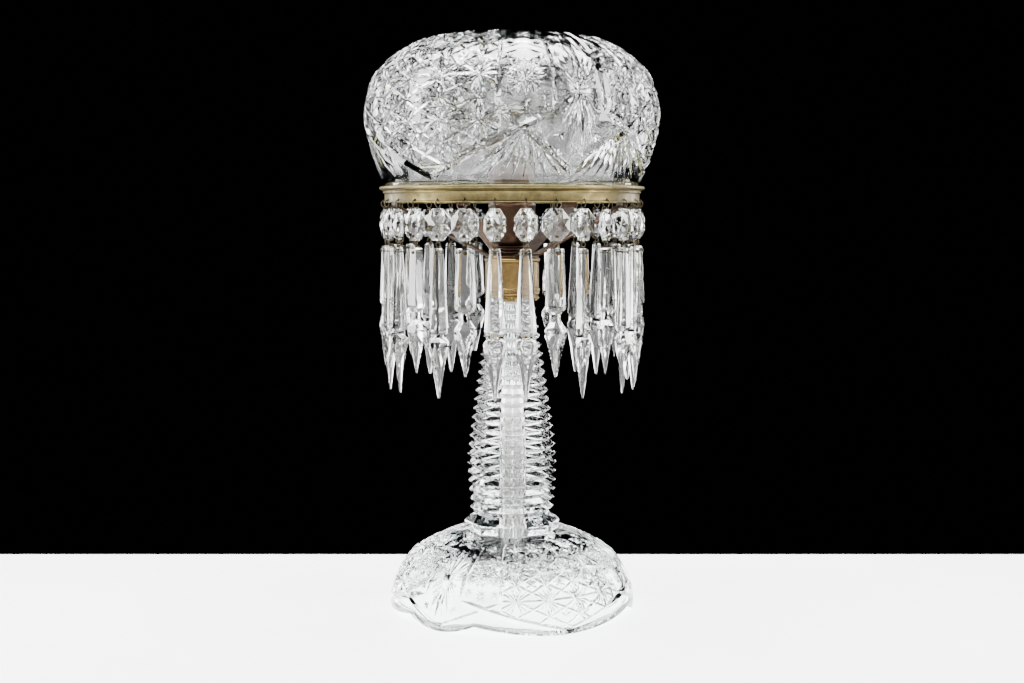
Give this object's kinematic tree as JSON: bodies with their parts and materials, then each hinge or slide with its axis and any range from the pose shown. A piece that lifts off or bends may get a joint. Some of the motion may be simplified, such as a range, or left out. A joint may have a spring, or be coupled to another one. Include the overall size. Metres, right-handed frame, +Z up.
{
  "type": "table lamp",
  "caption": "Electric table lamp in cut glass: domed foot, ribbed octagonal column, brass gallery on arms, mushroom dome shade and a fringe of swinging glass drops.",
  "frame": {"origin": "centre of the circle the foot stands on, at table level", "axes": "+Z up the lamp's axis; -Y is the front, the switch key points to +Y"},
  "size_m": [0.2104, 0.2104, 0.41],
  "materials": {
    "cut_glass": "clear lead crystal, cut and polished",
    "bulb_glass": "thin clear blown glass",
    "aged_brass": "old brass, dulled to olive gold",
    "bright_brass": "plain brass",
    "dark_bronze": "oxidised dark bronze plate",
    "zinc_steel": "zinc-plated steel",
    "rubber_pad": "black rubber",
    "black_plastic": "black phenolic",
    "porcelain": "glazed porcelain",
    "fibre_liner": "vulcanised fibre",
    "tungsten": "tungsten wire"
  },
  "bodies": {
    "lamp_body": {"glass_base": "cut_glass", "lamp_pipe": "zinc_steel", "foot_pad": "rubber_pad", "foot_washer": "zinc_steel", "cord_bushing": "black_plastic", "foot_nut": "zinc_steel", "column_seat": "rubber_pad", "column_cap": "aged_brass", "spider_hub": "dark_bronze", "spider_arm_1": "dark_bronze", "spider_arm_2": "dark_bronze", "spider_arm_3": "dark_bronze", "spider_arm_4": "dark_bronze", "arm_rivets": "dark_bronze", "neck_rings": "dark_bronze", "shade_ring": "aged_brass", "socket_cap": "dark_bronze", "socket_shell": "dark_bronze", "socket_liner": "fibre_liner", "socket_core": "porcelain", "screw_shell": "bright_brass", "centre_contact": "bright_brass"},
    "shade": {"shade": "cut_glass"},
    "switch_key": {"switch_key": "black_plastic"},
    "bulb": {"bulb_base": "bright_brass", "bulb_contact": "bright_brass", "bulb_glass": "bulb_glass", "bulb_stem": "bulb_glass", "filament": "tungsten"},
    "drop_01": {"drop_01": "cut_glass"},
    "drop_02": {"drop_02": "cut_glass"},
    "drop_03": {"drop_03": "cut_glass"},
    "drop_04": {"drop_04": "cut_glass"},
    "drop_05": {"drop_05": "cut_glass"},
    "drop_06": {"drop_06": "cut_glass"},
    "drop_07": {"drop_07": "cut_glass"},
    "drop_08": {"drop_08": "cut_glass"},
    "drop_09": {"drop_09": "cut_glass"},
    "drop_10": {"drop_10": "cut_glass"},
    "drop_11": {"drop_11": "cut_glass"},
    "drop_12": {"drop_12": "cut_glass"},
    "drop_13": {"drop_13": "cut_glass"},
    "drop_14": {"drop_14": "cut_glass"},
    "drop_15": {"drop_15": "cut_glass"},
    "drop_16": {"drop_16": "cut_glass"},
    "drop_17": {"drop_17": "cut_glass"},
    "drop_18": {"drop_18": "cut_glass"},
    "drop_19": {"drop_19": "cut_glass"},
    "drop_20": {"drop_20": "cut_glass"},
    "drop_21": {"drop_21": "cut_glass"},
    "drop_22": {"drop_22": "cut_glass"},
    "drop_23": {"drop_23": "cut_glass"},
    "drop_24": {"drop_24": "cut_glass"},
    "drop_25": {"drop_25": "cut_glass"},
    "drop_26": {"drop_26": "cut_glass"},
    "drop_27": {"drop_27": "cut_glass"},
    "drop_28": {"drop_28": "cut_glass"}
  },
  "joints": [
    {"name": "shade_lift", "type": "slide", "parent": "lamp_body", "child": "shade", "axis": [0, 0, 1], "range_m": [0, 0.12]},
    {"name": "bulb_unscrew", "type": "slide", "parent": "lamp_body", "child": "bulb", "axis": [0, 0, 1], "range_m": [0, 0.03]},
    {"name": "switch_turn", "type": "hinge", "parent": "lamp_body", "child": "switch_key", "pos_m": [0, 0.0225, 0.2767], "axis": [0, 1, 0], "continuous": true},
    {"name": "swing_01", "type": "hinge", "parent": "lamp_body", "child": "drop_01", "pos_m": [-0.0112, -0.08985, 0.2939], "axis": [-0.9923, 0.1237, 0], "range_deg": [-6, 20]},
    {"name": "swing_02", "type": "hinge", "parent": "lamp_body", "child": "drop_02", "pos_m": [0.00907, -0.09009, 0.2939], "axis": [-0.995, -0.1002, 0], "range_deg": [-6, 20]},
    {"name": "swing_03", "type": "hinge", "parent": "lamp_body", "child": "drop_03", "pos_m": [0.02889, -0.08582, 0.2939], "axis": [-0.9477, -0.3191, 0], "range_deg": [-6, 20]},
    {"name": "swing_04", "type": "hinge", "parent": "lamp_body", "child": "drop_04", "pos_m": [0.04726, -0.07724, 0.2939], "axis": [-0.853, -0.522, 0], "range_deg": [-6, 20]},
    {"name": "swing_05", "type": "hinge", "parent": "lamp_body", "child": "drop_05", "pos_m": [0.06327, -0.06478, 0.2939], "axis": [-0.7154, -0.6987, 0], "range_deg": [-6, 20]},
    {"name": "swing_06", "type": "hinge", "parent": "lamp_body", "child": "drop_06", "pos_m": [0.07609, -0.04908, 0.2939], "axis": [-0.542, -0.8404, 0], "range_deg": [-6, 20]},
    {"name": "swing_07", "type": "hinge", "parent": "lamp_body", "child": "drop_07", "pos_m": [0.08511, -0.03092, 0.2939], "axis": [-0.3414, -0.9399, 0], "range_deg": [-6, 20]},
    {"name": "swing_08", "type": "hinge", "parent": "lamp_body", "child": "drop_08", "pos_m": [0.08985, -0.0112, 0.2939], "axis": [-0.1237, -0.9923, 0], "range_deg": [-6, 20]},
    {"name": "swing_09", "type": "hinge", "parent": "lamp_body", "child": "drop_09", "pos_m": [0.09009, 0.00907, 0.2939], "axis": [0.1002, -0.995, 0], "range_deg": [-6, 20]},
    {"name": "swing_10", "type": "hinge", "parent": "lamp_body", "child": "drop_10", "pos_m": [0.08582, 0.02889, 0.2939], "axis": [0.3191, -0.9477, 0], "range_deg": [-6, 20]},
    {"name": "swing_11", "type": "hinge", "parent": "lamp_body", "child": "drop_11", "pos_m": [0.07724, 0.04726, 0.2939], "axis": [0.522, -0.853, 0], "range_deg": [-6, 20]},
    {"name": "swing_12", "type": "hinge", "parent": "lamp_body", "child": "drop_12", "pos_m": [0.06478, 0.06327, 0.2939], "axis": [0.6987, -0.7154, 0], "range_deg": [-6, 20]},
    {"name": "swing_13", "type": "hinge", "parent": "lamp_body", "child": "drop_13", "pos_m": [0.04908, 0.07609, 0.2939], "axis": [0.8404, -0.542, 0], "range_deg": [-6, 20]},
    {"name": "swing_14", "type": "hinge", "parent": "lamp_body", "child": "drop_14", "pos_m": [0.03092, 0.08511, 0.2939], "axis": [0.9399, -0.3414, 0], "range_deg": [-6, 20]},
    {"name": "swing_15", "type": "hinge", "parent": "lamp_body", "child": "drop_15", "pos_m": [0.0112, 0.08985, 0.2939], "axis": [0.9923, -0.1237, 0], "range_deg": [-6, 20]},
    {"name": "swing_16", "type": "hinge", "parent": "lamp_body", "child": "drop_16", "pos_m": [-0.00907, 0.09009, 0.2939], "axis": [0.995, 0.1002, 0], "range_deg": [-6, 20]},
    {"name": "swing_17", "type": "hinge", "parent": "lamp_body", "child": "drop_17", "pos_m": [-0.02889, 0.08582, 0.2939], "axis": [0.9477, 0.3191, 0], "range_deg": [-6, 20]},
    {"name": "swing_18", "type": "hinge", "parent": "lamp_body", "child": "drop_18", "pos_m": [-0.04726, 0.07724, 0.2939], "axis": [0.853, 0.522, 0], "range_deg": [-6, 20]},
    {"name": "swing_19", "type": "hinge", "parent": "lamp_body", "child": "drop_19", "pos_m": [-0.06327, 0.06478, 0.2939], "axis": [0.7154, 0.6987, 0], "range_deg": [-6, 20]},
    {"name": "swing_20", "type": "hinge", "parent": "lamp_body", "child": "drop_20", "pos_m": [-0.07609, 0.04908, 0.2939], "axis": [0.542, 0.8404, 0], "range_deg": [-6, 20]},
    {"name": "swing_21", "type": "hinge", "parent": "lamp_body", "child": "drop_21", "pos_m": [-0.08511, 0.03092, 0.2939], "axis": [0.3414, 0.9399, 0], "range_deg": [-6, 20]},
    {"name": "swing_22", "type": "hinge", "parent": "lamp_body", "child": "drop_22", "pos_m": [-0.08985, 0.0112, 0.2939], "axis": [0.1237, 0.9923, 0], "range_deg": [-6, 20]},
    {"name": "swing_23", "type": "hinge", "parent": "lamp_body", "child": "drop_23", "pos_m": [-0.09009, -0.00907, 0.2939], "axis": [-0.1002, 0.995, 0], "range_deg": [-6, 20]},
    {"name": "swing_24", "type": "hinge", "parent": "lamp_body", "child": "drop_24", "pos_m": [-0.08582, -0.02889, 0.2939], "axis": [-0.3191, 0.9477, 0], "range_deg": [-6, 20]},
    {"name": "swing_25", "type": "hinge", "parent": "lamp_body", "child": "drop_25", "pos_m": [-0.07724, -0.04726, 0.2939], "axis": [-0.522, 0.853, 0], "range_deg": [-6, 20]},
    {"name": "swing_26", "type": "hinge", "parent": "lamp_body", "child": "drop_26", "pos_m": [-0.06478, -0.06327, 0.2939], "axis": [-0.6987, 0.7154, 0], "range_deg": [-6, 20]},
    {"name": "swing_27", "type": "hinge", "parent": "lamp_body", "child": "drop_27", "pos_m": [-0.04908, -0.07609, 0.2939], "axis": [-0.8404, 0.542, 0], "range_deg": [-6, 20]},
    {"name": "swing_28", "type": "hinge", "parent": "lamp_body", "child": "drop_28", "pos_m": [-0.03092, -0.08511, 0.2939], "axis": [-0.9399, 0.3414, 0], "range_deg": [-6, 20]}
  ]
}
